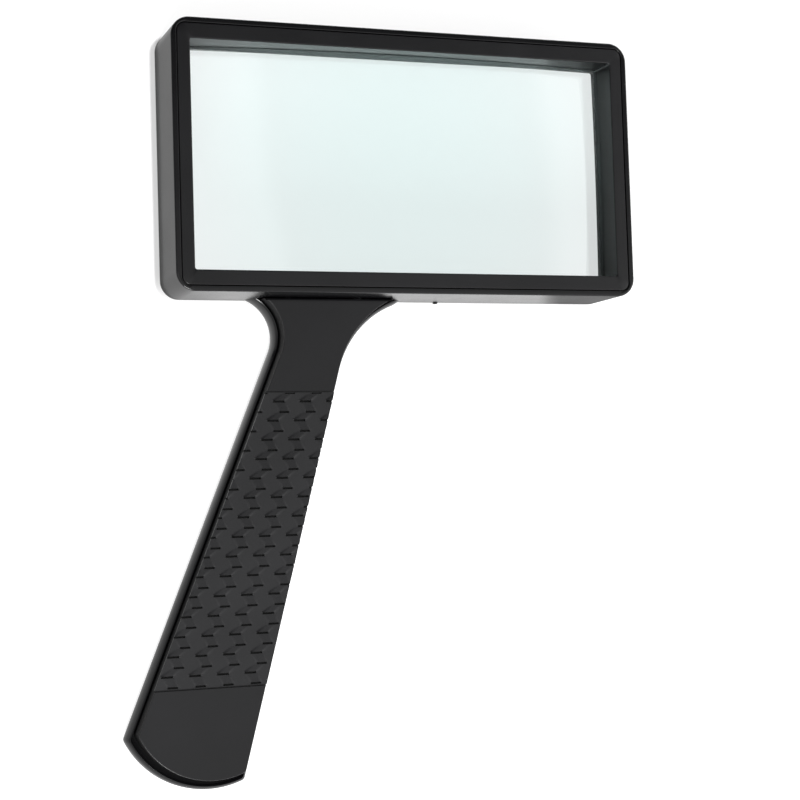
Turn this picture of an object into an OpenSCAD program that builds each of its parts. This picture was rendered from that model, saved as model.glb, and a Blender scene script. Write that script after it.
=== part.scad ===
// Rectangular reading magnifier with a deep frame and a leaning side handle.
// It lies on its back: +X runs along the frame's long side, +Y from the handle's end
// to the frame, and +Z out of the front. z = 0 is the face that it rests on.

/* [Frame] */
// Clear width of the lens opening
opening_w = 100; // [80:1:130]
// Clear height of the lens opening
opening_h = 50; // [40:1:65]
// Width of the frame beside the opening
side_border = 4.2; // [3.6:0.1:6]
// Height of the frame above and below the opening
end_border = 4.7; // [4.6:0.1:6]
// Depth of the frame, front to back
frame_depth = 17; // [16:0.5:22]
// Radius of the frame's outer corners
frame_corner = 4.2; // [3:0.1:6]
// Thickness of the outer wall, seen as the rim round the bezel
rim_wall = 1.15; // [1:0.05:1.6]
// Gap between the rim and the bezel, seen as a groove
bezel_gap = 0.3; // [0.15:0.05:0.5]

/* [Lens] */
// Radius of both faces of the lens
lens_radius = 400; // [300:10:900]
// Distance from the frame's front to the middle of the lens
lens_recess = 3.2; // [1:0.1:4]
// Thickness of the rim by which the lens is held
lens_flange = 2.4; // [1.6:0.1:3]
// Distance that the held rim stands out all round
lens_grip = 1.6; // [0.8:0.1:2]
// Thickness of each seal ring
seal_thick = 0.4; // [0.3:0.1:0.8]

/* [Handle] */
// Place of the handle's root along the frame, from the lens's middle
root_x = -17.4; // [-25:0.1:25]
// Lean of the handle away from square to the frame, in degrees
lean = 18.9; // [0:0.1:25]
// Angle at which each side opens from the handle's own axis, in degrees
taper = 3.6; // [1:0.1:5]
// Distance along the axis from the root to the middle of the end's curve
end_reach = 91.2; // [75:0.1:110]
// Half width of the handle at the middle of the end's curve
end_half = 13.2; // [12:0.1:15]
// Radius of the rounded end
end_radius = 20.5; // [17:0.1:24]
// Distance that the rounded end sits off the handle's axis, towards the far side
end_shift = 0.7; // [0:0.1:1.5]
// Radius of the end's two corners
end_corner = 1.2; // [0.6:0.1:2]
// Radius of the flare on the side that the handle leans to
near_flare = 9; // [6:0.1:12]
// Radius of the flare on the other side
far_flare = 22.2; // [16:0.1:24]
// Thickness of the handle, back to front
handle_depth = 8.2; // [8:0.1:10]

/* [Cover and grip] */
// Height of the back shell's rim, above which the front cover stands
rim_height = 5; // [4:0.1:5]
// Distance of the cover's sides from the back shell's outline
cover_inset = 1.3; // [1.1:0.05:1.6]
// Distance of the cover's end from the back shell's end
cover_end_inset = 2.3; // [1.6:0.1:3]
// Distance from the frame's underside to the grip pad
pad_start = 21.2; // [18:0.1:26]
// Length of the grip pad, square to the frame
pad_length = 63.4; // [40:0.1:64]
// Thickness of the front cover's top
cover_thick = 1.8; // [1.6:0.1:2.2]
// Thickness of the grip pad
pad_thick = 0.8; // [0.6:0.1:1]
// Height of the pad's zigzag ribs
rib_height = 0.3; // [0.1:0.05:0.4]

/* [Screws] */
// Radius of the screws' shanks
screw_r = 1.1; // [0.9:0.05:1.2]
// Radius of the screws' heads
head_r = 2.1; // [1.8:0.05:2.2]

/* [Hidden] */
$fn = 64;

play = 0.1;                    // clearance between parts that are slid together
past = 1;                      // how far a cutter runs past what it cuts
plastic = [0.09, 0.09, 0.10];  // colour of the mouldings

// Frame, measured from the middle of the lens
frame_w = opening_w + 2 * side_border;
frame_h = opening_h + 2 * end_border;
pocket_corner = 2;
opening_corner = 0.5;
back_flare = 2.2;
back_flare_top = 4.4;
bezel_flange = 1.8;
bezel_sleeve = 1.2;
bezel_recess = 0.1;

// Heights of the stack that holds the lens, which is centred in the frame's depth
lens_mid = frame_depth / 2;
flange_bottom = lens_mid - lens_flange / 2;
flange_top = lens_mid + lens_flange / 2;
ledge_top = flange_bottom - seal_thick;
sleeve_bottom = flange_top + seal_thick;
lens_half_thick = frame_depth / 2 - lens_recess;

// Lugs on the bezel that snap into pockets in the frame's wall
lug_length = 7;
lug_height = 1.4;
lug_depth = 0.45;
lug_z = 12;
lug_spots = [-opening_w / 3, opening_w / 3];

// Mark left where the frame was moulded, on its underside
gate_x = 10.6;
gate_z = 0.8;
gate_r = 0.6;
gate_height = 0.35;

// Handle. In its own terms u runs down its axis from the root and v across it to the left.
root_y = -frame_h / 2;
tip_angle = 21;
tip_slope = 32;
tip_rise = 0.15;
root_half = end_half - end_reach * tan(taper);
near_drop = near_flare - 0.6;
far_drop = far_flare - 0.5;
arc_steps = 14;
corner_steps = 4;

// Insets of the back shell's outline at rising heights, which round its sides
rounding = [
    [0, 1.6], [0.25, 1], [0.8, 0.45], [1.6, 0.12], [2.4, 0],
    [rim_height - 1.3, 0.11], [rim_height - 0.5, 0.35], [rim_height - 0.13, 0.59],
    [rim_height, 0.85]
];
floor_thick = 1.6;
wall_inset = 2.4;
collar_wall = 2.4;

// The cover is a cap whose skirt stands in a seat inside the back shell's rim
seat_inset = 1.05;
skirt = 1.3;
skirt_bottom = rim_height - 1.1;
cover_under = handle_depth - cover_thick;
collar_top = cover_under - play;

// Grip pattern: zigzag ribs that follow the handle's axis
rib_pitch = 6.13;
rib_rise = 4.2;
rib_width = 2.3;
rib_swing = 1.9;
rib_fall = 0.54;

// Screws
head_thick = 1.3;
head_sink = 0.3;
head_clear = 0.15;
screw_bore = screw_r + 0.02;
clear_bore = screw_r + 0.25;
boss_r = 3.1;
neck_screw_reach = 8;
neck_screw_z = 3.7;
neck_screw_bite = 3.6;
cover_screw_spots = [27, 62, 100];
screw_tip = pad_thick + 0.5;
slot_width = 0.6;
slot_depth = 0.7;

// Point at u along the handle's axis and v across it
function at(u, v) = [
    root_x - u * sin(lean) - v * cos(lean),
    root_y - u * cos(lean) + v * sin(lean)
];

// Point at [u, v] from the middle of the end's curve
function at_end(p) = at(end_reach + p[0], p[1] - end_shift);

function arc(centre, r, from, to, steps = arc_steps) = [
    for (i = [0 : steps])
        let (a = from + (to - from) * i / steps) centre + r * [cos(a), sin(a)]
];

// Middle of the flare on one side (1 for the near side, -1 for the far side)
function flare_centre(side, r, drop) =
    let (
        out = root_half + r / cos(taper),
        u = (drop + side * out * sin(lean)) / (cos(lean) - side * tan(taper) * sin(lean))
    )
    at(u, side * (out + u * tan(taper)));

// Middle of an end corner's curve on one side, as [u, v] from the middle of the end's curve
function corner_centre(side, inset, end_inset) =
    let (
        k = tan(taper),
        m = end_half + side * end_shift - (inset + end_corner) / cos(taper),
        q = end_radius - end_inset - end_corner,
        u = (-m * k + sqrt(m * m * k * k - (1 + k * k) * (m * m - q * q))) / (1 + k * k)
    )
    [u, side * (m + k * u)];

// Angle at which a flare of that radius stops, always a little short of the underside
function flare_stop(r, drop) = min(90 - tip_angle, asin(min(1, (drop - tip_rise) / r)));

// Point where a flare's last straight stretch meets the frame's underside
function flare_tip(p, side) = [p.x - side * (root_y - p.y) / tan(tip_slope), root_y];

// The handle's outline, moved inward by inset at its sides and end_inset at its end,
// counter-clockwise from the near tip
function handle_outline(inset, end_inset) =
    let (
        near_c = flare_centre(1, near_flare, near_drop),
        far_c = flare_centre(-1, far_flare, far_drop),
        near_arc = arc(
            near_c, near_flare + inset,
            flare_stop(near_flare + inset, near_drop), -lean - taper
        ),
        far_arc = arc(
            far_c, far_flare + inset,
            180 - lean + taper, 180 - flare_stop(far_flare + inset, far_drop)
        ),
        near_end = corner_centre(1, inset, end_inset),
        far_end = corner_centre(-1, inset, end_inset),
        down = 270 - lean,
        near_turn = down - atan2(near_end[1], near_end[0]),
        far_turn = down - atan2(far_end[1], far_end[0]),
        near_corner = arc(
            at_end(near_end), end_corner,
            180 - lean - taper, near_turn, corner_steps
        ),
        end_arc = arc(
            at_end([0, 0]), end_radius - end_inset,
            near_turn, far_turn, 2 * arc_steps + 1
        ),
        far_corner = arc(
            at_end(far_end), end_corner,
            far_turn, 360 - lean + taper, corner_steps
        )
    )
    concat(
        [flare_tip(near_arc[0], 1)], near_arc, near_corner,
        end_arc, far_corner, far_arc, [flare_tip(far_arc[arc_steps], -1)]
    );

// Middle of the footprint of the whole magnifier, from the middle of the lens
handle_low = at_end([0, 0]).y - end_radius;
handle_left = at_end(corner_centre(1, 0, 0)).x - end_corner;
footprint = [
    (min(handle_left, -frame_w / 2) + frame_w / 2) / 2,
    (handle_low + frame_h / 2) / 2
];

// Puts what is drawn round the lens's middle into the part's own frame
module placed() {
    translate([-footprint.x, -footprint.y, 0]) children();
}

module rounded_rect(w, h, r) {
    square([w - 2 * r, h], center = true);
    square([w, h - 2 * r], center = true);
    for (x = [-1, 1], y = [-1, 1])
        translate([x * (w / 2 - r), y * (h / 2 - r)]) circle(r);
}

// A block with rounded corners from one height to another
module slab(w, h, r, bottom, top) {
    translate([0, 0, bottom]) linear_extrude(top - bottom) rounded_rect(w, h, r);
}

module opening(bottom, top) {
    slab(opening_w, opening_h, opening_corner, bottom, top);
}

// The handle's outline as a plate, no nearer the frame than clear
module handle_plate(inset, end_inset, bottom, top, clear = 0) {
    translate([0, 0, bottom]) linear_extrude(top - bottom) intersection() {
        polygon(handle_outline(inset, end_inset));
        translate([-frame_w * 2, root_y - clear - frame_w * 2])
            square([frame_w * 3, frame_w * 2]);
    }
}

// A band across the handle, square to the frame's long side
module pad_band(extra) {
    translate([-frame_w, root_y - pad_start - pad_length - extra])
        square([frame_w * 2, pad_length + 2 * extra]);
}

// Pockets in the frame's two long walls for the bezel's snap lugs
module lug_pockets(depth, extra) {
    for (x = lug_spots, side = [-1, 1])
        translate([x, side * (frame_h / 2 - rim_wall + depth / 2), lug_z])
            cube([lug_length + 2 * extra, depth, lug_height + 2 * extra], center = true);
}

// Cutter that widens the opening evenly towards the frame's back
module back_flare_cutter() {
    slope = back_flare / back_flare_top;
    levels = [[-past, back_flare + past * slope], [back_flare_top, 0]];
    corners = [[-1, -1], [1, -1], [1, 1], [-1, 1]];
    points = [
        for (level = levels, c = corners)
            [c.x * (opening_w / 2 + level[1]), c.y * (opening_h / 2 + level[1]), level[0]]
    ];
    polyhedron(points, [
        [0, 1, 2, 3], [7, 6, 5, 4],
        [0, 4, 5, 1], [1, 5, 6, 2], [2, 6, 7, 3], [3, 7, 4, 0]
    ]);
}

module frame_shell() {
    color(plastic) placed() difference() {
        union() {
            slab(frame_w, frame_h, frame_corner, 0, frame_depth);
            translate([gate_x, -frame_h / 2, gate_z])
                rotate([90, 0, 0]) cylinder(r = gate_r, h = gate_height);
        }
        opening(-past, frame_depth + past);
        back_flare_cutter();
        slab(
            frame_w - 2 * rim_wall, frame_h - 2 * rim_wall, pocket_corner,
            ledge_top, frame_depth + past
        );
        lug_pockets(lug_depth + play, play);
        for (side = [-1, 1])
            neck_screw_axis(side) cylinder(r = screw_bore, h = neck_screw_bite + play);
    }
}

module front_bezel() {
    outer_w = frame_w - 2 * (rim_wall + bezel_gap);
    outer_h = frame_h - 2 * (rim_wall + bezel_gap);
    top = frame_depth - bezel_recess;
    color(plastic) placed() {
        difference() {
            slab(outer_w, outer_h, pocket_corner - bezel_gap, sleeve_bottom, top);
            difference() {
                slab(
                    outer_w + past, outer_h + past, pocket_corner,
                    sleeve_bottom - past, top - bezel_flange
                );
                slab(
                    opening_w + 2 * bezel_sleeve, opening_h + 2 * bezel_sleeve,
                    opening_corner + bezel_sleeve, sleeve_bottom - 2 * past, top
                );
            }
            opening(sleeve_bottom - past, frame_depth + past);
        }
        snap_arms(outer_h, top);
    }
}

// Arms that hang from the bezel's flange and end in the snap lugs
module snap_arms(outer_h, top) {
    arm = 0.9;
    arm_bottom = lug_z - lug_height / 2;
    arm_top = top - bezel_flange;
    for (x = lug_spots, side = [-1, 1]) {
        translate([x, side * (outer_h - arm) / 2, (arm_bottom + arm_top) / 2])
            cube([lug_length, arm, arm_top - arm_bottom], center = true);
        translate([x, side * (outer_h / 2 + (bezel_gap + lug_depth) / 2), lug_z])
            cube([lug_length, bezel_gap + lug_depth, lug_height], center = true);
    }
}

module lens() {
    body_w = opening_w - 2 * play;
    body_h = opening_h - 2 * play;
    color([0.80, 0.93, 0.91, 0.5]) placed() {
        intersection() {
            slab(body_w, body_h, opening_corner, 0, frame_depth);
            translate([0, 0, lens_mid + lens_half_thick - lens_radius])
                sphere(r = lens_radius, $fn = 200);
            translate([0, 0, lens_mid - lens_half_thick + lens_radius])
                sphere(r = lens_radius, $fn = 200);
        }
        difference() {
            slab(
                body_w + 2 * lens_grip, body_h + 2 * lens_grip, opening_corner + lens_grip,
                flange_bottom, flange_top
            );
            slab(
                body_w - past, body_h - past, opening_corner,
                flange_bottom - past, flange_top + past
            );
        }
    }
}

module lens_seal(bottom) {
    color([0.04, 0.04, 0.04]) placed() difference() {
        slab(
            opening_w + 2 * lens_grip, opening_h + 2 * lens_grip, opening_corner + lens_grip,
            bottom, bottom + seal_thick
        );
        opening(bottom - past, bottom + seal_thick + past);
    }
}

module front_lens_seal() {
    lens_seal(flange_top);
}

module rear_lens_seal() {
    lens_seal(ledge_top);
}

// The handle's rounded outside as one closed skin
module handle_skin() {
    rings = [for (level = rounding) handle_outline(level[1], level[1])];
    count = len(rings[0]);
    last = len(rings) - 1;
    points = [
        for (i = [0 : last], p = rings[i]) [p.x, p.y, rounding[i][0]]
    ];
    sides = [
        for (i = [0 : last - 1], j = [0 : count - 1])
            let (k = (j + 1) % count)
                [i * count + j, (i + 1) * count + j, (i + 1) * count + k, i * count + k]
    ];
    // Each end is closed by strips that join one side of the outline to the other
    bottom_strips = [
        for (j = [0 : count / 2 - 2])
            [j, j + 1, count - 2 - j, count - 1 - j]
    ];
    top_strips = [
        for (strip = bottom_strips) [for (n = [3 : -1 : 0]) last * count + strip[n]]
    ];
    polyhedron(points, concat(bottom_strips, top_strips, sides));
}

module handle_back_shell() {
    color(plastic) placed() difference() {
        union() {
            handle_skin();
            collar();
        }
        handle_plate(
            wall_inset, wall_inset + cover_end_inset - cover_inset,
            floor_thick, handle_depth, collar_wall
        );
        difference() {
            handle_plate(seat_inset, seat_inset, skirt_bottom, handle_depth);
            collar();
        }
        for (side = [-1, 1])
            neck_screw_axis(side) translate([0, 0, -collar_wall - past])
                cylinder(r = clear_bore, h = collar_wall + 2 * past);
        for (u = cover_screw_spots) {
            on_axis(u, -past) cylinder(r = clear_bore, h = handle_depth);
            on_axis(u, -past) cylinder(r = head_r + head_clear, h = past + head_sink + head_thick);
        }
    }
    color(plastic) placed() for (u = cover_screw_spots) back_boss(u);
}

// Wall that closes the handle's hollow at the frame and takes the neck screws
module collar() {
    translate([0, 0, floor_thick]) linear_extrude(collar_top - floor_thick) intersection() {
        polygon(handle_outline(cover_inset + skirt + play, cover_inset + skirt + play));
        translate([-frame_w, root_y - collar_wall]) square([frame_w * 2, collar_wall]);
    }
}

// Ring on the back shell's floor under a cover boss, against which a screw's head bears
module back_boss(u) {
    difference() {
        on_axis(u, floor_thick - play) cylinder(r = boss_r, h = skirt_bottom - floor_thick + play);
        on_axis(u, 0) cylinder(r = clear_bore, h = handle_depth);
        on_axis(u, 0) cylinder(r = head_r + head_clear, h = head_sink + head_thick);
    }
}

module handle_front_cover() {
    color(plastic) placed() difference() {
        union() {
            difference() {
                handle_plate(cover_inset, cover_end_inset, skirt_bottom, handle_depth, play);
                handle_plate(
                    cover_inset + skirt, cover_end_inset + skirt,
                    skirt_bottom - past, cover_under
                );
            }
            for (u = cover_screw_spots)
                on_axis(u, skirt_bottom + play)
                    cylinder(r = boss_r - 0.6, h = cover_under - skirt_bottom);
        }
        translate([0, 0, handle_depth - pad_thick])
            linear_extrude(pad_thick + past) pad_band(play);
        for (u = cover_screw_spots)
            on_axis(u, 0) cylinder(r = screw_bore, h = handle_depth - screw_tip + play);
    }
}

// One zigzag rib of the grip pattern, down the handle, in the lattice's own steps
module zigzag_rib(column) {
    rows = ceil(pad_length / rib_rise) + 2;
    shear = tan(lean);
    knots = [
        for (i = [-1 : rows], half = [0, 1])
            let (down = (i + half * rib_fall) * rib_rise)
                [column * rib_pitch - down * shear + half * rib_swing, -down]
    ];
    translate([root_x - pad_start * shear, root_y - pad_start])
        polygon(concat(
            knots,
            [for (i = [len(knots) - 1 : -1 : 0]) knots[i] + [rib_width, 0]]
        ));
}

module grip_pad() {
    columns = ceil(end_half / rib_pitch) + 1;
    bottom = handle_depth - pad_thick;
    color([0.07, 0.07, 0.08]) placed() {
        translate([0, 0, bottom]) linear_extrude(pad_thick - rib_height) intersection() {
            polygon(handle_outline(cover_inset, cover_end_inset));
            pad_band(0);
        }
        translate([0, 0, handle_depth - rib_height]) linear_extrude(rib_height) intersection() {
            polygon(handle_outline(cover_inset, cover_end_inset));
            pad_band(0);
            for (column = [-columns : columns]) zigzag_rib(column);
        }
    }
}

// Puts a child on the handle's axis, standing on the given height
module on_axis(u, bottom) {
    translate([at(u, 0).x, at(u, 0).y, bottom]) children();
}

// Turns a child's +Z into +Y at a neck screw, starting where the handle meets the frame
module neck_screw_axis(side) {
    translate([root_x - side * neck_screw_reach, root_y, neck_screw_z])
        rotate([-90, 0, 0]) children();
}

// A pan-head screw with a cross slot: its head's top is at 0 and its tip at +Z
module screw(length) {
    difference() {
        union() {
            cylinder(r = head_r, h = head_thick);
            cylinder(r = screw_r, h = length);
        }
        for (turn = [0, 90])
            rotate(turn) translate([-head_r * 0.6, -slot_width / 2, -past])
                cube([head_r * 1.2, slot_width, past + slot_depth]);
    }
}

module neck_screw(side) {
    color("silver") placed() neck_screw_axis(side)
        translate([0, 0, -collar_wall - head_thick])
            screw(head_thick + collar_wall + neck_screw_bite);
}

module handle_screw(index) {
    length = handle_depth - screw_tip - head_sink;
    color("silver") placed() on_axis(cover_screw_spots[index], head_sink) screw(length);
}

module neck_screw_left() {
    neck_screw(1);
}

module neck_screw_right() {
    neck_screw(-1);
}

module handle_screw_neck() {
    handle_screw(0);
}

module handle_screw_middle() {
    handle_screw(1);
}

module handle_screw_end() {
    handle_screw(2);
}

frame_shell();
front_bezel();
lens();
front_lens_seal();
rear_lens_seal();
handle_back_shell();
handle_front_cover();
grip_pad();
neck_screw_left();
neck_screw_right();
handle_screw_neck();
handle_screw_middle();
handle_screw_end();
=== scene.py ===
"""Looks of the rectangular magnifying glass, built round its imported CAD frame.

Sizes are in millimetres until a mesh is made, and angles in degrees. Everything is drawn from
the middle of the lens, as in the CAD source. Materials, lamps and the room use metres.
"""
import math

import bmesh
import bpy
from mathutils import Euler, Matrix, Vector


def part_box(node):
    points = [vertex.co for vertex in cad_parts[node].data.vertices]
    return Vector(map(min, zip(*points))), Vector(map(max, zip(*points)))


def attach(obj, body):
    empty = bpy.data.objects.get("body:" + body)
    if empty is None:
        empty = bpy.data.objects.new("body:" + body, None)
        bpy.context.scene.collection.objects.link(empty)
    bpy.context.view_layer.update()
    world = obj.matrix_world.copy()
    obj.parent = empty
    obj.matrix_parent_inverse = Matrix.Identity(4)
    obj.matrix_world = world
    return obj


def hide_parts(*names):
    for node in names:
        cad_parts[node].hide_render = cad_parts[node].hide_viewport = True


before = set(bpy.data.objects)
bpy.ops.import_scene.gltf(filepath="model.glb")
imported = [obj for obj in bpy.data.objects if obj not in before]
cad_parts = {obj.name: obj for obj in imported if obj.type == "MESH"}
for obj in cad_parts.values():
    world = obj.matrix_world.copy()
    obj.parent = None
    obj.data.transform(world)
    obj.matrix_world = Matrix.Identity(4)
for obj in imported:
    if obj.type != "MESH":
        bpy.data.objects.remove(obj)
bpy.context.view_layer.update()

MM = 0.001

# ---------------------------------------------------------------- places from the CAD frame
LENS_LOW, LENS_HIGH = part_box("lens")
MID_X = (LENS_LOW.x + LENS_HIGH.x) / 2 / MM
MID_Y = (LENS_LOW.y + LENS_HIGH.y) / 2 / MM
LENS_MID_Z = (LENS_LOW.z + LENS_HIGH.z) / 2 / MM
LENS_HALF_THICK = (LENS_HIGH.z - LENS_LOW.z) / 2 / MM
SHELL_LOW, SHELL_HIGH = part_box("frame_shell")
FRONT_Z = SHELL_HIGH.z / MM
HALF_W = (SHELL_HIGH.x - SHELL_LOW.x) / 2 / MM
HALF_H = SHELL_HIGH.y / MM - MID_Y
COVER_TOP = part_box("handle_front_cover")[1].z / MM

# ---------------------------------------------------------------- sizes, as in the CAD source
OPEN_W, OPEN_H, OPEN_R = 50.0, 25.0, 0.5
FRAME_R, POCKET_R, RIM_WALL, BEZEL_GAP = 4.2, 2.0, 1.2, 0.17
BACK_FLARE, BACK_FLARE_TOP = 2.2, 4.4
BEZEL_TOP, BEZEL_FLANGE, BEZEL_SLEEVE = FRONT_Z - 0.1, 1.8, 1.2
LEDGE_TOP, SLEEVE_BOTTOM = 6.9, 10.1
LENS_RADIUS = 400.0

ROOT_X, ROOT_Y, LEAN, TAPER = -17.4, -HALF_H, 18.9, 3.6
END_REACH, END_HALF, END_RADIUS, END_SHIFT, END_CORNER = 91.2, 13.2, 20.5, 0.7, 1.2
NEAR_FLARE, FAR_FLARE = 9.0, 22.2
NEAR_DROP, FAR_DROP = NEAR_FLARE - 0.6, FAR_FLARE - 0.5
TIP_ANGLE, TIP_SLOPE, TIP_RISE = 21.0, 32.0, 0.15
RIM_HEIGHT, SKIRT_BOTTOM = 5.0, 3.9
COVER_INSET, COVER_END = 1.3, 2.3
PAD_START, PAD_LENGTH, PAD_THICK = 21.2, 63.4, 0.8
COVER_SCREWS = (27.0, 62.0, 100.0)
ROOT_GAP = 0.2


def radians(a):
    return a * math.pi / 180


def sin(a):
    return math.sin(radians(a))


def cos(a):
    return math.cos(radians(a))


def tan(a):
    return math.tan(radians(a))


# ---------------------------------------------------------------- mesh helpers
def to_row(p):
    """A point in millimetres from the middle of the lens, as metres in the row frame."""
    return Vector(((p[0] + MID_X) * MM, (p[1] + MID_Y) * MM, p[2] * MM))


def make_object(name, bm, material, body="root", sharp=35.0, weighted=True):
    """Finishes a bmesh in millimetres as a smooth-shaded piece that rides on the body."""
    for v in bm.verts:
        v.co = to_row(v.co)
    bmesh.ops.recalc_face_normals(bm, faces=bm.faces)
    for f in bm.faces:
        f.smooth = True
    limit = radians(sharp)
    for e in bm.edges:
        e.smooth = not (len(e.link_faces) != 2 or e.calc_face_angle(0.0) > limit)
    mesh = bpy.data.meshes.new(name)
    bm.to_mesh(mesh)
    bm.free()
    mesh.materials.append(material)
    obj = bpy.data.objects.new(name, mesh)
    bpy.context.scene.collection.objects.link(obj)
    if weighted:
        normals = obj.modifiers.new("face_weighted_normals", "WEIGHTED_NORMAL")
        normals.keep_sharp = True
        normals.weight = 50
    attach(obj, body)
    return obj


def loft(bm, rings, wrap=False):
    """Joins rings of the same number of points into a skin, and returns the rings' vertices."""
    made = [[bm.verts.new(p) for p in ring] for ring in rings]
    pairs = list(zip(made[:-1], made[1:]))
    if wrap:
        pairs.append((made[-1], made[0]))
    for a, b in pairs:
        n = len(a)
        for j in range(n):
            k = (j + 1) % n
            bm.faces.new((a[j], a[k], b[k], b[j]))
    return made


def cap_across(bm, ring):
    """Closes a ring by strips that join its one side to its other side."""
    n = len(ring)
    for j in range(n // 2 - 1):
        bm.faces.new((ring[j], ring[j + 1], ring[n - 2 - j], ring[n - 1 - j]))


def fillet(start, end, steps, bulge):
    """Quarter-ellipse steps between two (along, z) corners. bulge says which corner it leans to."""
    points = []
    for i in range(steps + 1):
        a = 90 * i / steps
        if bulge == "start":
            points.append((end[0] + (start[0] - end[0]) * cos(a),
                           start[1] + (end[1] - start[1]) * sin(a)))
        else:
            points.append((start[0] + (end[0] - start[0]) * sin(a),
                           end[1] + (start[1] - end[1]) * cos(a)))
    return points


def cut(obj, cutters):
    """Cuts a piece with closed bmeshes in millimetres, and keeps the result as its mesh."""
    for cutter in cutters:
        for v in cutter.verts:
            v.co = to_row(v.co)
        bmesh.ops.recalc_face_normals(cutter, faces=cutter.faces)
        mesh = bpy.data.meshes.new("cutter")
        cutter.to_mesh(mesh)
        cutter.free()
        tool = bpy.data.objects.new("cutter", mesh)
        bpy.context.scene.collection.objects.link(tool)
        step = obj.modifiers.new("cut", "BOOLEAN")
        step.operation = "DIFFERENCE"
        step.solver = "EXACT"
        step.object = tool
        keep = [m for m in obj.modifiers if m.type == "WEIGHTED_NORMAL"]
        for m in keep:
            m.show_viewport = False
        bpy.context.view_layer.update()
        result = bpy.data.meshes.new_from_object(
            obj.evaluated_get(bpy.context.evaluated_depsgraph_get()))
        obj.modifiers.remove(step)
        for m in keep:
            m.show_viewport = True
        obj.data = result
        bpy.data.objects.remove(tool)


def box_bmesh(low, high):
    """A closed box between two corners."""
    bm = bmesh.new()
    bmesh.ops.create_cube(bm, size=1.0)
    for v in bm.verts:
        v.co = Vector([low[i] + (v.co[i] + 0.5) * (high[i] - low[i]) for i in range(3)])
    return bm


def cylinder_bmesh(x, y, r, low, high, segments=48):
    """A closed upright cylinder."""
    bm = bmesh.new()
    rings = [[(x + r * cos(360 * i / segments), y + r * sin(360 * i / segments), z)
              for i in range(segments)] for z in (low, high)]
    made = loft(bm, rings)
    for ring in made:
        bm.faces.new(ring)
    return bm


# ---------------------------------------------------------------- materials
def shader(name, color, roughness, **inputs):
    """A new material, its node tree and its Principled shader."""
    material = bpy.data.materials.new(name)
    material.use_nodes = True
    tree = material.node_tree
    bsdf = tree.nodes["Principled BSDF"]
    bsdf.inputs["Base Color"].default_value = (*color, 1)
    bsdf.inputs["Roughness"].default_value = roughness
    for key, value in inputs.items():
        bsdf.inputs[key.replace("_", " ")].default_value = value
    return material, tree, bsdf


def noise(tree, scale, detail=2.0, rough=0.5, stretch=(1, 1, 1)):
    """Object-space noise whose scale is in cycles per metre."""
    coordinates = tree.nodes.new("ShaderNodeTexCoord")
    mapping = tree.nodes.new("ShaderNodeMapping")
    mapping.inputs["Scale"].default_value = stretch
    texture = tree.nodes.new("ShaderNodeTexNoise")
    texture.inputs["Scale"].default_value = scale
    texture.inputs["Detail"].default_value = detail
    texture.inputs["Roughness"].default_value = rough
    tree.links.new(coordinates.outputs["Object"], mapping.inputs["Vector"])
    tree.links.new(mapping.outputs["Vector"], texture.inputs["Vector"])
    return texture.outputs["Fac"]


def remap(tree, source, low, high, from_low=0.3, from_high=0.7):
    """Spreads the middle of a noise's range over low to high."""
    node = tree.nodes.new("ShaderNodeMapRange")
    node.inputs["From Min"].default_value = from_low
    node.inputs["From Max"].default_value = from_high
    node.inputs["To Min"].default_value = low
    node.inputs["To Max"].default_value = high
    tree.links.new(source, node.inputs["Value"])
    return node.outputs["Result"]


def blend_colors(tree, factor, low, high):
    """The color low where the factor is 0, and high where it is 1."""
    node = tree.nodes.new("ShaderNodeMix")
    node.data_type = "RGBA"
    node.inputs["A"].default_value = (*low, 1)
    node.inputs["B"].default_value = (*high, 1)
    tree.links.new(factor, node.inputs["Factor"])
    return node.outputs["Result"]


def bump(tree, bsdf, layers):
    """Stacks height layers, each (height, strength, distance in metres), into the normal."""
    last = None
    for height, strength, distance in layers:
        node = tree.nodes.new("ShaderNodeBump")
        node.inputs["Strength"].default_value = strength
        node.inputs["Distance"].default_value = distance
        tree.links.new(height, node.inputs["Height"])
        if last is not None:
            tree.links.new(last, node.inputs["Normal"])
        last = node.outputs["Normal"]
    tree.links.new(last, bsdf.inputs["Normal"])


# Cycles per metre of the plastics' color patches, uneven sheen and mould waviness
PATCH_SCALE, SMUDGE_SCALE, WAVE_SCALE = 45, 130, 220


def moulded_plastic(name, dark, light, rough_low, rough_high, grain, grain_depth, wave_depth):
    """Black moulded plastic: fine surface grain, faint mould waviness and uneven sheen.

    grain is in cycles per metre, and the depths are in metres.
    """
    material, tree, bsdf = shader(name, dark, rough_low, IOR=1.48)
    patches = noise(tree, PATCH_SCALE, 3)
    tree.links.new(
        blend_colors(tree, remap(tree, patches, 0, 1), dark, light), bsdf.inputs["Base Color"])
    smudges = noise(tree, SMUDGE_SCALE, 4, 0.6)
    tree.links.new(remap(tree, smudges, rough_low, rough_high), bsdf.inputs["Roughness"])
    bump(tree, bsdf, [
        (noise(tree, WAVE_SCALE, 1), 0.35, wave_depth),
        (noise(tree, grain, 2, 0.6), 0.5, grain_depth),
    ])
    return material


def grainy(name, color, roughness, grain, grain_depth, detail=2, **inputs):
    """A plain dull material of one colour with a fine grain."""
    material, tree, bsdf = shader(name, color, roughness, **inputs)
    bump(tree, bsdf, [(noise(tree, grain, detail), 0.4, grain_depth)])
    return material


def brushed_steel(name, color, rough_low, rough_high):
    """Bare steel with a grain that runs one way."""
    material, tree, bsdf = shader(name, color, rough_low, Metallic=1.0)
    tree.links.new(
        remap(tree, noise(tree, 900, 3), rough_low, rough_high), bsdf.inputs["Roughness"])
    bump(tree, bsdf, [(noise(tree, 2600, 2, 0.5, (1, 6, 1)), 0.35, 0.00001)])
    return material


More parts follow.
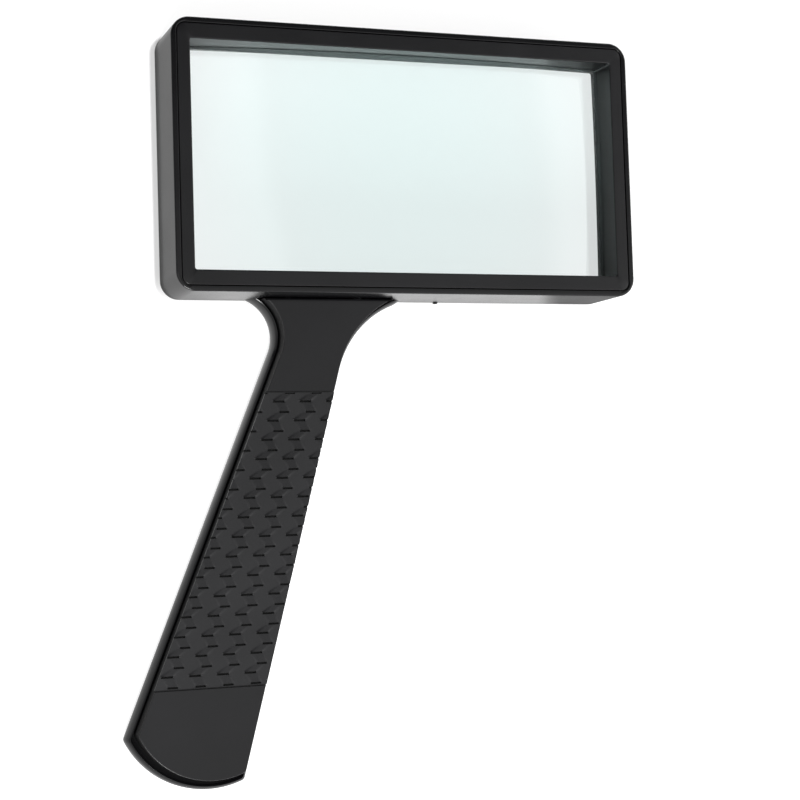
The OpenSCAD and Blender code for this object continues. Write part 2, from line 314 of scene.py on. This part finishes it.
GLOSS = moulded_plastic(
    "gloss_black_plastic", dark=(0.0022, 0.0022, 0.0025), light=(0.0036, 0.0036, 0.004),
    rough_low=0.15, rough_high=0.2, grain=6500, grain_depth=0.000004, wave_depth=0.000004)
SATIN = moulded_plastic(
    "satin_black_plastic", dark=(0.0032, 0.0032, 0.0036), light=(0.005, 0.005, 0.0057),
    rough_low=0.285, rough_high=0.33, grain=7500, grain_depth=0.00001, wave_depth=0.000002)
GRIP = moulded_plastic(
    "grip_black_plastic", dark=(0.006, 0.006, 0.0065), light=(0.01, 0.01, 0.011),
    rough_low=0.34, rough_high=0.46, grain=5200, grain_depth=0.000014, wave_depth=0.00002)

# For the groove round the cover, its floor and its inner wall: painted shade, a darker and duller
# black with little reflection
GROOVE_SHADE = grainy("cover_groove_painted_shade", (0.003, 0.003, 0.0033), 0.6, grain=5000,
              grain_depth=0.00001, Specular_IOR_Level=0.15)
# Painted shade: a darker, duller black on the floors of the grip's slots
SLOT_SHADE = grainy(
    "grip_slot_painted_shade", (0.003, 0.003, 0.003), 0.85, grain=4000, grain_depth=0.00002)
RUBBER = grainy(
    "seal_rubber", (0.012, 0.012, 0.012), 0.75, grain=3000, grain_depth=0.00002, detail=3)
STEEL = brushed_steel("screw_steel", (0.58, 0.59, 0.61), 0.22, 0.42)

# The lens's color and density of absorption per metre, and what its shadow lets through
LENS_TINT, LENS_TINT_DENSITY = (0.25, 0.857, 0.807), 14.0
LENS_SHADE = (0.92, 0.95, 0.95)


def lens_material():
    """Clear acrylic with a faint cyan tint that deepens with thickness, and a pale shadow."""
    material, tree, bsdf = shader(
        "lens_acrylic", (1, 1, 1), 0.0, IOR=1.49, Transmission_Weight=1.0)
    bump(tree, bsdf, [(noise(tree, 40, 1), 0.3, 0.000001)])
    tint = tree.nodes.new("ShaderNodeVolumeAbsorption")
    tint.inputs["Color"].default_value = (*LENS_TINT, 1)
    tint.inputs["Density"].default_value = LENS_TINT_DENSITY
    output = tree.nodes["Material Output"]
    clear = tree.nodes.new("ShaderNodeBsdfTransparent")
    clear.inputs["Color"].default_value = (*LENS_SHADE, 1)
    path = tree.nodes.new("ShaderNodeLightPath")
    mixed = tree.nodes.new("ShaderNodeMixShader")
    tree.links.new(path.outputs["Is Shadow Ray"], mixed.inputs["Fac"])
    tree.links.new(bsdf.outputs["BSDF"], mixed.inputs[1])
    tree.links.new(clear.outputs["BSDF"], mixed.inputs[2])
    tree.links.new(mixed.outputs["Shader"], output.inputs["Surface"])
    tree.links.new(tint.outputs["Volume"], output.inputs["Volume"])
    return material


LENS = lens_material()
EDGE = grainy("lens_edge_black", (0.006, 0.008, 0.008), 0.6, grain=2500, grain_depth=0.00002)

# ---------------------------------------------------------------- frame
CORNER_STEPS = 14


def rect_ring(half_w, half_h, r, z):
    """Points of a rounded rectangle round the lens's middle, counter-clockwise."""
    points = []
    for turn, (sx, sy) in enumerate(((1, 1), (-1, 1), (-1, -1), (1, -1))):
        cx, cy = sx * (half_w - r), sy * (half_h - r)
        for i in range(CORNER_STEPS + 1):
            a = 90 * turn + 90 * i / CORNER_STEPS
            points.append((cx + r * cos(a), cy + r * sin(a), z))
    return points


def outer_ring(inset, z, r=None):
    """The frame's outline moved inward, with its own corner radius unless one is given."""
    return rect_ring(HALF_W - inset, HALF_H - inset, FRAME_R - inset if r is None else r, z)


def opening_ring(outset, z):
    """The clear opening's outline moved outward."""
    return rect_ring(OPEN_W + outset, OPEN_H + outset, OPEN_R + outset, z)


def add_gate_mark(bm):
    """A small flat dome on the frame's underside, near the back."""
    gate_x, gate_z, gate_r, gate_height, sunk = 10.6, 0.95, 0.6, 0.35, 0.12
    segments = 20
    levels = [(sunk, 1.0), (0.14 - gate_height, 0.93), (0.04 - gate_height, 0.72),
              (-gate_height, 0.4)]
    dome = [[(gate_x + gate_r * share * cos(360 * i / segments), -HALF_H + rise,
              gate_z + gate_r * share * sin(360 * i / segments)) for i in range(segments)]
            for rise, share in levels]
    made = loft(bm, dome)
    bm.faces.new(made[0])
    bm.faces.new(made[-1])


def build_frame_shell():
    """The outer box: round back and front edges, the bezel's pocket, the ledge, the flare."""
    bm = bmesh.new()
    back_edge, front_edge, rim_edge, mouth_edge, mouth_reach = 0.9, 0.4, 0.14, 0.3, 0.1
    bend_up, bend_down, bend_out = 0.15, 0.1, 0.05
    rings = []
    for d, z in fillet((back_edge, 0.0), (0.0, back_edge), 7, "end"):
        rings.append(outer_ring(d, z))
    for d, z in fillet((0.0, FRONT_Z - front_edge), (front_edge, FRONT_Z), 6, "start"):
        rings.append(outer_ring(d, z))
    for d, z in fillet((RIM_WALL - rim_edge, FRONT_Z), (RIM_WALL, FRONT_Z - rim_edge), 4, "end"):
        share = d / RIM_WALL
        rings.append(outer_ring(d, z, (FRAME_R - d) * (1 - share) + POCKET_R * share))
    rings.append(outer_ring(RIM_WALL, LEDGE_TOP, POCKET_R))
    rings.append(opening_ring(0.0, LEDGE_TOP))
    rings.append(opening_ring(0.0, BACK_FLARE_TOP + bend_up))
    rings.append(opening_ring(bend_out, BACK_FLARE_TOP - bend_down))
    mouth = (BACK_FLARE - mouth_edge * BACK_FLARE / BACK_FLARE_TOP, mouth_edge)
    for d, z in fillet(mouth, (BACK_FLARE + mouth_reach, 0.0), 4, "start"):
        rings.append(opening_ring(d, z))
    loft(bm, rings, wrap=True)
    add_gate_mark(bm)
    return make_object("frame_shell_body", bm, GLOSS)


def build_bezel():
    """The ring in the frame's front, with a sleeve down to the lens."""
    bm = bmesh.new()
    inset = RIM_WALL + BEZEL_GAP
    r = POCKET_R - BEZEL_GAP
    edge, mouth_edge, steps = 0.22, 0.28, 5
    rings = [outer_ring(inset, BEZEL_TOP - BEZEL_FLANGE, r)]
    for d, z in fillet((inset, BEZEL_TOP - edge), (inset + edge, BEZEL_TOP), steps, "start"):
        rings.append(outer_ring(d, z, r - (d - inset)))
    for d, z in fillet((mouth_edge, BEZEL_TOP), (0.0, BEZEL_TOP - mouth_edge), steps, "end"):
        rings.append(opening_ring(d, z))
    rings.append(opening_ring(0.0, SLEEVE_BOTTOM))
    rings.append(opening_ring(BEZEL_SLEEVE, SLEEVE_BOTTOM))
    rings.append(opening_ring(BEZEL_SLEEVE, BEZEL_TOP - BEZEL_FLANGE))
    loft(bm, rings, wrap=True)
    return make_object("front_bezel_ring", bm, SATIN)


def build_lens():
    """Biconvex block: two curved faces of a fine grid, and black ground edges."""
    bm = bmesh.new()
    play = 0.1
    half_w, half_h = OPEN_W - play, OPEN_H - play
    columns, rows = 72, 36

    def half_thick(x, y):
        return LENS_HALF_THICK - (LENS_RADIUS - math.sqrt(LENS_RADIUS ** 2 - x * x - y * y))

    grids = []
    for side in (1, -1):
        grid = []
        for j in range(rows + 1):
            y = -half_h + 2 * half_h * j / rows
            line = []
            for i in range(columns + 1):
                x = -half_w + 2 * half_w * i / columns
                line.append(bm.verts.new((x, y, LENS_MID_Z + side * half_thick(x, y))))
            grid.append(line)
        for j in range(rows):
            for i in range(columns):
                bm.faces.new((grid[j][i], grid[j][i + 1], grid[j + 1][i + 1], grid[j + 1][i]))
        grids.append(grid)

    def border(grid):
        """The grid's outermost points, all the way round."""
        return (grid[0] + [line[-1] for line in grid[1:]]
                + grid[-1][-2::-1] + [line[0] for line in grid[-2:0:-1]])

    top, bottom = (border(grid) for grid in grids)
    for j in range(len(top)):
        k = (j + 1) % len(top)
        bm.faces.new((top[j], top[k], bottom[k], bottom[j])).material_index = 1
    piece = make_object("lens_block", bm, LENS, weighted=False)
    piece.data.materials.append(EDGE)
    return piece


# ---------------------------------------------------------------- handle
ARC_STEPS, CORNER_ARC = 26, 5
ROOT_HALF = END_HALF - END_REACH * tan(TAPER)


def at(u, v):
    """Point at u down the handle's axis from its root and v across it to the left."""
    return (ROOT_X - u * sin(LEAN) - v * cos(LEAN), ROOT_Y - u * cos(LEAN) + v * sin(LEAN))


def at_end(p):
    """A point from the end arc's centre, given down and across the handle's axis."""
    return at(END_REACH + p[0], p[1] - END_SHIFT)


def arc(centre, r, start, stop, steps):
    """Points of an arc between two angles."""
    return [(centre[0] + r * cos(start + (stop - start) * i / steps),
             centre[1] + r * sin(start + (stop - start) * i / steps)) for i in range(steps + 1)]


def flare_centre(side, r, drop):
    """Centre of the arc, drop below the frame, that flares the handle's side out to it."""
    out = ROOT_HALF + r / cos(TAPER)
    u = (drop + side * out * sin(LEAN)) / (cos(LEAN) - side * tan(TAPER) * sin(LEAN))
    return at(u, side * (out + u * tan(TAPER)))


def corner_centre(side, inset, end_inset):
    """Centre, down and across from the end arc's, of the corner between a side and the end."""
    k = tan(TAPER)
    m = END_HALF + side * END_SHIFT - (inset + END_CORNER) / cos(TAPER)
    q = END_RADIUS - end_inset - END_CORNER
    u = (-m * k + math.sqrt(m * m * k * k - (1 + k * k) * (m * m - q * q))) / (1 + k * k)
    return (u, side * (m + k * u))


def flare_stop(r, drop):
    """Angle at which a flare's arc ends and its straight tip begins."""
    return min(90 - TIP_ANGLE, math.degrees(math.asin(min(1.0, (drop - TIP_RISE) / r))))


def flare_tip(p, side):
    """Where the straight tip that starts at p meets the frame."""
    return (p[0] - side * (ROOT_Y - p[1]) / tan(TIP_SLOPE), ROOT_Y)


def handle_outline(inset, end_inset):
    """The handle's outline moved inward, counter-clockwise from the near tip."""
    near_c = flare_centre(1, NEAR_FLARE, NEAR_DROP)
    far_c = flare_centre(-1, FAR_FLARE, FAR_DROP)
    near_r, far_r = NEAR_FLARE + inset, FAR_FLARE + inset
    near_arc = arc(near_c, near_r, flare_stop(near_r, NEAR_DROP), -LEAN - TAPER, ARC_STEPS)
    far_arc = arc(far_c, far_r, 180 - LEAN + TAPER, 180 - flare_stop(far_r, FAR_DROP), ARC_STEPS)
    near_end = corner_centre(1, inset, end_inset)
    far_end = corner_centre(-1, inset, end_inset)
    down = 270 - LEAN
    near_turn = down - math.degrees(math.atan2(near_end[1], near_end[0]))
    far_turn = down - math.degrees(math.atan2(far_end[1], far_end[0]))
    near_corner = arc(at_end(near_end), END_CORNER, 180 - LEAN - TAPER, near_turn, CORNER_ARC)
    end_arc = arc(at_end((0, 0)), END_RADIUS - end_inset, near_turn, far_turn, 2 * ARC_STEPS + 1)
    far_corner = arc(at_end(far_end), END_CORNER, far_turn, 360 - LEAN + TAPER, CORNER_ARC)
    return ([flare_tip(near_arc[0], 1)] + near_arc + near_corner + end_arc
            + far_corner + far_arc + [flare_tip(far_arc[-1], -1)])


def handle_ring(inset, end_inset, z, drop=0.0):
    """The handle's outline at a height, kept at least drop below the frame."""
    return [(x, min(y, ROOT_Y - drop), z) for x, y in handle_outline(inset, end_inset)]


def darken(obj, is_dark):
    """Gives the groove's painted-shade material to the faces of a piece that the test picks."""
    obj.data.materials.append(GROOVE_SHADE)
    for face in obj.data.polygons:
        if is_dark(face):
            face.material_index = 1


def build_back_shell():
    """The handle's body: round back and sides, a lip, and a flat floor inside the lip."""
    bm = bmesh.new()
    base_inset, wide_z, lip_inset = 1.2, 2.2, 0.92
    seat, seat_end, lip_edge, lip_stop = 1.02, 1.3, 0.3, 76
    pocket_r, pocket_depth = 2.25, 1.6
    rings = []
    for inset, z in fillet((base_inset, 0.0), (0.0, wide_z), 9, "end"):
        rings.append(handle_ring(inset, inset, z))
    lip_steps = 10
    for i in range(1, lip_steps + 1):
        a = lip_stop * i / lip_steps
        share = (1 - cos(a)) / (1 - cos(lip_stop))
        z = wide_z + (RIM_HEIGHT - wide_z) * sin(a) / sin(lip_stop)
        rings.append(handle_ring(lip_inset * share, lip_inset * share, z))
    rings.append(handle_ring(seat, seat_end, RIM_HEIGHT - lip_edge))
    rings.append(handle_ring(seat, seat_end, SKIRT_BOTTOM))
    made = loft(bm, rings)
    cap_across(bm, made[0])
    cap_across(bm, made[-1])
    shell = make_object("handle_back_shell_body", bm, GLOSS)
    pockets = []
    for u in COVER_SCREWS:
        x, y = at(u, 0)
        pockets.append(cylinder_bmesh(x, y, pocket_r, -1.0, pocket_depth))
    cut(shell, pockets)
    # Painted shade: the groove's floor inside the lip takes the groove's dark material
    darken(shell, lambda face: abs(face.center.z / MM - SKIRT_BOTTOM) < 0.01
           and face.normal.z > 0.99)
    return shell


def build_cover():
    """The handle's cap, whose sides lean in a little, with the grip's pocket cut into it."""
    bm = bmesh.new()
    edge, draft, root_round, groove = 0.16, 0.2, 0.5, 0.34
    lift, below, above = 0.05, 0.05, 1.0
    top = COVER_TOP

    def cover_ring(inset, z, root_z, drop):
        """The cover's outline, whose edge at the frame has its own height."""
        ring = handle_ring(COVER_INSET + inset, COVER_END + inset, z, drop)
        return [(x, y, root_z if y > ROOT_Y - drop - 0.001 else z) for x, y, z in ring]

    base = SKIRT_BOTTOM + lift
    rings = [cover_ring(0.0, base, base, ROOT_GAP)]
    steps = 7
    for i in range(steps + 1):
        a = 90 * i / steps
        rings.append(cover_ring(
            draft + edge * (1 - cos(a)), top - edge * (1 - sin(a)),
            top - root_round * (1 - sin(a)), ROOT_GAP + root_round * (1 - cos(a))))
    made = loft(bm, rings)
    cap_across(bm, made[0])
    cap_across(bm, made[-1])
    cover = make_object("handle_front_cover_body", bm, SATIN)
    left, right = ROOT_X - 80, ROOT_X + 40
    pocket_low = ROOT_Y - PAD_START - PAD_LENGTH - groove
    pocket_high = ROOT_Y - PAD_START + groove
    cut(cover, [box_bmesh((left, pocket_low, top - PAD_THICK - below),
                          (right, pocket_high, top + above))])
    # Painted shade: the cover's upright walls, round the groove and the grip's pocket, take the
    # groove's dark material
    darken(cover, lambda face: abs(face.normal.z) < 0.1)
    return cover


# ---------------------------------------------------------------- grip pad
# Two dashes, A and B, in each cell of a slanted lattice, and a raised plate below each dash
RIB_PITCH, RIB_ROW, RIB_SLANT = 6.13, 4.2, 1.45
STEP_B = (1.33, 2.31)
LONG_A, LONG_B = 2.5, 2.15
SLOT, SLOT_DEPTH = 0.4, 0.42
PAD_BASE_DROP = 0.21
FIRST_DASH = (1.18, 2.45)
COLUMNS, ROWS = range(-4, 5), range(-1, 18)
GRID_STEP, GRID_TIGHT = 0.24, 0.025

# Each plate's rise at its top and bottom, then how far each side edge slopes: outside its line
# at the top, how much further outside at the bottom, and inside its line
PLATE_A = {"rise": (0.02, 0.17), "left": (0.05, 0.1, 0.05), "right": (0.08, 0.22, 0.08)}
PLATE_B = {"rise": (0.01, 0.14), "left": (0.12, 0.16, 0.08), "right": (0.1, 0.14, 0.08)}


def ramp(value, low, high):
    """0 below low, 1 above high, and straight between them."""
    return min(max((value - low) / (high - low), 0.0), 1.0)


def mix(start, stop, share):
    """The value that lies a share of the way from start to stop."""
    return start + (stop - start) * share


def plate_height(x, d, top, bottom, left, right, form):
    """Height at (x, d) of a plate from d = top to bottom, with each side's x at those two."""
    share = ramp(d, top + SLOT, bottom)
    reach = (d - top) / (bottom - top)
    left_x, right_x = mix(*left, reach), mix(*right, reach)
    outside, further, inside = form["left"]
    up = ramp(x, left_x - outside - further * share, left_x + inside)
    outside, further, inside = form["right"]
    down = ramp(x, right_x - inside, right_x + outside + further * share)
    return mix(*form["rise"], share) * up * (1 - down)


def cell_height(x, d):
    """Height in one lattice cell at x from dash A's left end and d below it."""
    b_x, b_d = STEP_B
    b_end = b_x + LONG_B
    if not 0 <= d <= RIB_ROW:
        return 0.0
    if d <= b_d:
        in_slot = d < SLOT and 0 < x < LONG_A
        height = plate_height(x, d, 0.0, b_d, (0.0, b_x), (LONG_A, b_end), PLATE_A)
    else:
        in_slot = d < b_d + SLOT and b_x < x < b_end
        height = plate_height(x, d, b_d, RIB_ROW, (b_x, -RIB_SLANT),
                              (b_end, LONG_A - RIB_SLANT), PLATE_B)
    return -SLOT_DEPTH if in_slot else height


def pad_height(x, y):
    """Height of the grip pattern over its base, at millimetres from the lattice's origin."""
    best = 0.0
    down = -y
    row = math.floor(down / RIB_ROW)
    d = down - row * RIB_ROW
    across = x + row * RIB_SLANT
    column = math.floor(across / RIB_PITCH)
    for c in (column - 1, column, column + 1):
        h = cell_height(across - c * RIB_PITCH, d)
        if abs(h) > abs(best):
            best = h
    return best


def grid_lines(length, marks):
    """Lines across one cell: even steps, with a close pair at each mark, as in the next cell."""
    count = round(length / GRID_STEP)
    lines = {round(i * length / count, 4) for i in range(count)}
    for m in marks:
        lines = {v for v in lines
                 if min(abs(v - m), length - abs(v - m)) > 3 * GRID_TIGHT}
        lines |= {(m - GRID_TIGHT) % length, (m + GRID_TIGHT) % length}
    return sorted(lines)


def relief_grid(bm):
    """The top of the grip as a slanted grid, larger than the pad, with painted shade on its slots'
    floors.
    """
    base = COVER_TOP - PAD_BASE_DROP
    start_x, start_y = at(PAD_START / cos(LEAN), 0)
    origin_x, origin_y = start_x + FIRST_DASH[0], start_y + FIRST_DASH[1]
    b_x, b_d = STEP_B
    shear = RIB_SLANT / RIB_ROW
    b_left = b_x + shear * b_d
    s_cell = grid_lines(RIB_PITCH, (0.0, LONG_A, b_left, b_left + LONG_B))
    d_cell = grid_lines(RIB_ROW, (0.0, SLOT, b_d, b_d + SLOT))
    s_all = sorted({round(c * RIB_PITCH + s, 4) for c in COLUMNS for s in s_cell})
    d_all = sorted({round(r * RIB_ROW + d, 4) for r in ROWS for d in d_cell})
    grid = []
    for d in d_all:
        line = []
        for s in s_all:
            x, y = s - shear * d, -d
            z = base + pad_height(x, y)
            line.append(bm.verts.new((origin_x + x, origin_y + y, z)))
        grid.append(line)
    for j in range(len(d_all) - 1):
        for i in range(len(s_all) - 1):
            bm.faces.new((grid[j][i], grid[j][i + 1], grid[j + 1][i + 1], grid[j + 1][i]))
    # Painted shade: faces down at the slots' floors take the dark slot material
    slack = 0.02
    slot_floor = base - SLOT_DEPTH + slack
    for f in bm.faces:
        if all(v.co.z < slot_floor for v in f.verts):
            f.material_index = 1


def clip(bm, point, outward):
    """Cuts off what lies outward of a point."""
    bmesh.ops.bisect_plane(bm, geom=bm.verts[:] + bm.edges[:] + bm.faces[:],
                           plane_co=point, plane_no=outward, clear_outer=True, dist=1e-5)


def build_pad():
    """The grip: its relief clipped to the panel's outline, with a skirt and a flat floor."""
    bm = bmesh.new()
    relief_grid(bm)
    side_play, floor_play = 0.06, 0.04
    inset = COVER_INSET + side_play
    # Distances down the handle of the two points that give each straight side's direction
    upper, lower = 40, 60
    for side in (1, -1):
        v_edge = ROOT_HALF - inset / cos(TAPER)
        point = Vector((*at(upper, side * (v_edge + upper * tan(TAPER))), 0))
        other = Vector((*at(lower, side * (v_edge + lower * tan(TAPER))), 0))
        along = (other - point).normalized()
        clip(bm, point, Vector((-along.y, along.x, 0)) * -side)
    clip(bm, (0, ROOT_Y - PAD_START, 0), (0, 1, 0))
    clip(bm, (0, ROOT_Y - PAD_START - PAD_LENGTH, 0), (0, -1, 0))
    rim = [e for e in bm.edges if len(e.link_faces) == 1]
    made = bmesh.ops.extrude_edge_only(bm, edges=rim)
    for v in made["geom"]:
        if isinstance(v, bmesh.types.BMVert):
            v.co.z = COVER_TOP - PAD_THICK - floor_play
    low_edges = [e for e in bm.edges if len(e.link_faces) == 1]
    bmesh.ops.contextual_create(bm, geom=low_edges)
    tread = make_object("grip_pad_tread", bm, GRIP, sharp=28.0)
    tread.data.materials.append(SLOT_SHADE)
    return tread


# ---------------------------------------------------------------- pieces
shell = build_frame_shell()
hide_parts("frame_shell")
bezel = build_bezel()
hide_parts("front_bezel")
lens = build_lens()
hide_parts("lens")
back_shell = build_back_shell()
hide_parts("handle_back_shell")
cover = build_cover()
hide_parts("handle_front_cover")
pad = build_pad()
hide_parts("grip_pad")

NODE_MATERIALS = {
    "front_lens_seal": RUBBER, "rear_lens_seal": RUBBER,
    "neck_screw_left": STEEL, "neck_screw_right": STEEL,
    "handle_screw_neck": STEEL, "handle_screw_middle": STEEL, "handle_screw_end": STEEL,
}
for node, material in NODE_MATERIALS.items():
    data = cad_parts[node].data
    if data.materials:
        for i in range(len(data.materials)):
            data.materials[i] = material
    else:
        data.materials.append(material)

# ---------------------------------------------------------------- floor
def math_node(tree, operation, a, b):
    """A math node whose operands are numbers or sockets."""
    node = tree.nodes.new("ShaderNodeMath")
    node.operation = operation
    for slot, value in zip(node.inputs, (a, b)):
        if isinstance(value, (int, float)):
            slot.default_value = value
        else:
            tree.links.new(value, slot)
    return node.outputs["Value"]


def ease(tree, value, start, stop, low, high):
    """Goes smoothly from low to high while the value goes from start to stop."""
    node = tree.nodes.new("ShaderNodeMapRange")
    node.interpolation_type = "SMOOTHSTEP"
    for key, number in (("From Min", start), ("From Max", stop),
                        ("To Min", low), ("To Max", high)):
        node.inputs[key].default_value = number
    tree.links.new(value, node.inputs["Value"])
    return node.outputs["Result"]


def split_axes(tree, coordinates):
    """The X, Y and Z of a kind of texture coordinates."""
    place = tree.nodes.new("ShaderNodeTexCoord")
    split = tree.nodes.new("ShaderNodeSeparateXYZ")
    tree.links.new(place.outputs[coordinates], split.inputs["Vector"])
    return split.outputs


FLOOR_SIZE, FLOOR_DROP = 6.0, 0.0001
# Each of these gives where on the floor it starts and stops, in metres, and its value at each
# end. Those called LEFT and RIGHT run along X, and the others along Y
# Painted reflection: in reflections the floor's glow and tone change by place, which paints light
# and shade on the frame's and handle's walls
PAINTED_REFLECTION_LEFT, PAINTED_REFLECTION_RIGHT = (-0.052, -0.030, 0.04, 0.35), (0.042, 0.049, 0.0, -0.32)
PAINTED_REFLECTION_FAR, PAINTED_REFLECTION_NEAR = (0.024, 0.045, 0.0, 0.17), (0.012, 0.024, 0.12, -0.17)
# Painted light: the floor's plain glow is brighter beside the handle, over the handle's shadow
GLOW_PAINTED_BY_HANDLE = (0.020, 0.030, 0.75, 0.31)
PAINTED_TONE_LEFT, PAINTED_TONE_RIGHT = (-0.052, -0.030, 0.29, 0.42), (0.042, 0.049, 0.0, -0.25)
PAINTED_REFLECTION_LEAST = 0.03
# Painted light: through the lens the floor takes less lamplight and glows instead
PAPER_TONE, LENS_TONE, PAINTED_LENS_GLOW = 0.5, 0.15, 0.72


def floor_looks(tree, bsdf):
    """White paper that has its own brightness in reflections and through the lens: painted light.

    In reflections its glow and tone are painted by place, as painted reflections on the object,
    brightest in the middle and towards the far side. Through the lens it is nearly even, a painted
    glow. Beside the handle its plain glow is brighter, a painted light over the shadow there.
    """
    axes = split_axes(tree, "Object")
    path = tree.nodes.new("ShaderNodeLightPath")
    reflected = math_node(tree, "MINIMUM", path.outputs["Glossy Depth"], 1.0)
    through = math_node(tree, "MINIMUM", path.outputs["Transmission Depth"], 1.0)

    across = math_node(tree, "ADD", ease(tree, axes["X"], *PAINTED_REFLECTION_LEFT),
                       ease(tree, axes["X"], *PAINTED_REFLECTION_RIGHT))
    along = math_node(tree, "ADD", ease(tree, axes["Y"], *PAINTED_REFLECTION_FAR),
                      ease(tree, axes["Y"], *PAINTED_REFLECTION_NEAR))
    painted_reflection = math_node(tree, "MAXIMUM", math_node(tree, "ADD", across, along), PAINTED_REFLECTION_LEAST)

    # Painted light: the floor's glow through the lens and beside the handle
    paper = math_node(tree, "MAXIMUM", ease(tree, through, 0.0, 1.0, 0.0, PAINTED_LENS_GLOW),
                      ease(tree, axes["Y"], *GLOW_PAINTED_BY_HANDLE))
    plain = math_node(tree, "MULTIPLY", math_node(tree, "SUBTRACT", 1.0, reflected), paper)
    glow = math_node(tree, "ADD", plain, math_node(tree, "MULTIPLY", reflected, painted_reflection))
    tree.links.new(glow, bsdf.inputs["Emission Strength"])

    color = tree.nodes.new("ShaderNodeMix")
    color.data_type = "FLOAT"
    tree.links.new(reflected, color.inputs["Factor"])
    tree.links.new(ease(tree, through, 0.0, 1.0, PAPER_TONE, LENS_TONE), color.inputs["A"])
    tree.links.new(math_node(tree, "ADD", ease(tree, axes["X"], *PAINTED_TONE_LEFT),
                             ease(tree, axes["X"], *PAINTED_TONE_RIGHT)), color.inputs["B"])
    tree.links.new(color.outputs["Result"], bsdf.inputs["Base Color"])


def build_floor():
    """A flat sheet just under the object."""
    half = FLOOR_SIZE / 2
    corners = [(-half, -half, 0), (half, -half, 0), (half, half, 0), (-half, half, 0)]
    mesh = bpy.data.meshes.new("floor")
    mesh.from_pydata(corners, [], [(0, 1, 2, 3)])
    sheet = bpy.data.objects.new("floor", mesh)
    sheet.location.z = -FLOOR_DROP
    bpy.context.scene.collection.objects.link(sheet)
    material, tree, bsdf = shader("floor_paper", (0.5, 0.5, 0.5), 0.9)
    bsdf.inputs["Emission Color"].default_value = (1, 1, 1, 1)
    floor_looks(tree, bsdf)
    mesh.materials.append(material)
    return sheet


floor = build_floor()

# ---------------------------------------------------------------- room
# Each of these gives where it starts and stops, and its value at each end. The ceiling is a
# plane one unit up, with places along Y on it. The soft panel hangs on its right, with places
# along X on it. WALLS goes by the height of a direction, and WALL_TONE by its X
HORIZON = 0.05
CEILING_FAR, CEILING_NEAR = (0.05, 0.28, 0.88, 0.0), (-0.16, 0.02, -0.22, 0.0)
PANEL_EDGE, PANEL_END, PANEL_STRENGTH = (0.66, 0.76, 0.0, 1.0), (1.3, 1.8, 1.0, 0.0), 1.2
WALLS, WALL_TONE = (0.25, 0.6, 1.0, 0.0), (-0.9, 0.2, 0.45, 1.05)


def light_room(world):
    """A pale room: white walls low down, a dim ceiling with a panel, plain white when seen."""
    tree = world.node_tree
    axes = split_axes(tree, "Generated")
    up = math_node(tree, "MAXIMUM", axes["Z"], HORIZON)
    across = math_node(tree, "DIVIDE", axes["X"], up)
    along = math_node(tree, "DIVIDE", axes["Y"], up)
    ceiling = math_node(tree, "ADD", ease(tree, along, *CEILING_FAR),
                        ease(tree, along, *CEILING_NEAR))
    panel = math_node(tree, "MULTIPLY", ease(tree, across, *PANEL_EDGE),
                      ease(tree, across, *PANEL_END))
    panel = math_node(tree, "MULTIPLY", panel, PANEL_STRENGTH)
    overhead = math_node(tree, "ADD", ceiling, panel)
    walls = ease(tree, axes["Z"], *WALLS)
    wall_tone = ease(tree, axes["X"], *WALL_TONE)
    overhead_share = math_node(tree, "SUBTRACT", 1.0, walls)
    strength = math_node(tree, "ADD", math_node(tree, "MULTIPLY", walls, wall_tone),
                         math_node(tree, "MULTIPLY", overhead_share, overhead))
    path = tree.nodes.new("ShaderNodeLightPath")
    strength = math_node(tree, "MAXIMUM", strength, path.outputs["Is Camera Ray"])
    background = tree.nodes["Background"]
    background.inputs["Color"].default_value = (1, 1, 1, 1)
    tree.links.new(strength, background.inputs["Strength"])


studio = bpy.data.worlds.new("studio")
bpy.context.scene.world = studio
studio.use_nodes = True
light_room(studio)


# ---------------------------------------------------------------- lamps
def add_lamp(name, kind, toward, distance, energy, **settings):
    """A lamp that stands off the origin in one direction and shines back at it."""
    data = bpy.data.lights.new(name, kind)
    data.energy = energy
    for key, value in settings.items():
        setattr(data, key, value)
    lamp = bpy.data.objects.new(name, data)
    toward = Vector(toward).normalized()
    lamp.location = toward * distance
    lamp.rotation_mode = "QUATERNION"
    lamp.rotation_quaternion = toward.to_track_quat("Z", "Y")
    bpy.context.scene.collection.objects.link(lamp)
    return lamp


# A small high lamp makes the narrow shadow beside the frame, and isn't itself reflected
high_lamp = add_lamp("high_lamp", "SUN", toward=(0.06, 0.01, 1.0), distance=0.0, energy=3.0,
                     angle=radians(2.5))
high_lamp.visible_glossy = False
high_lamp.visible_transmission = False

# A soft lamp low on the left glints on the edges
add_lamp("low_left_lamp", "AREA", toward=(-0.315, -0.80, 0.51), distance=1.0, energy=9,
         shape="SQUARE", size=0.4)

# ---------------------------------------------------------------- camera
# Place in millimetres from the middle of the lens, and turns about X, Y and Z in degrees
CAMERA_PLACE = (-141.1365, -77.8795, 391.24)
CAMERA_TURN = (4.178, -19.914, -1.907)
FOCAL_LENGTH, SENSOR_WIDTH = 81.48, 36
CLIP_START, CLIP_END = 0.01, 20

camera_data = bpy.data.cameras.new("camera")
camera = bpy.data.objects.new("camera", camera_data)
bpy.context.scene.collection.objects.link(camera)
bpy.context.scene.camera = camera
camera_data.sensor_width = SENSOR_WIDTH
camera_data.lens = FOCAL_LENGTH
camera_data.clip_start = CLIP_START
camera_data.clip_end = CLIP_END
camera.location = to_row(CAMERA_PLACE)
camera.rotation_euler = Euler([radians(a) for a in CAMERA_TURN])

bpy.context.scene.view_settings.view_transform = "Standard"

bpy.context.view_layer.update()
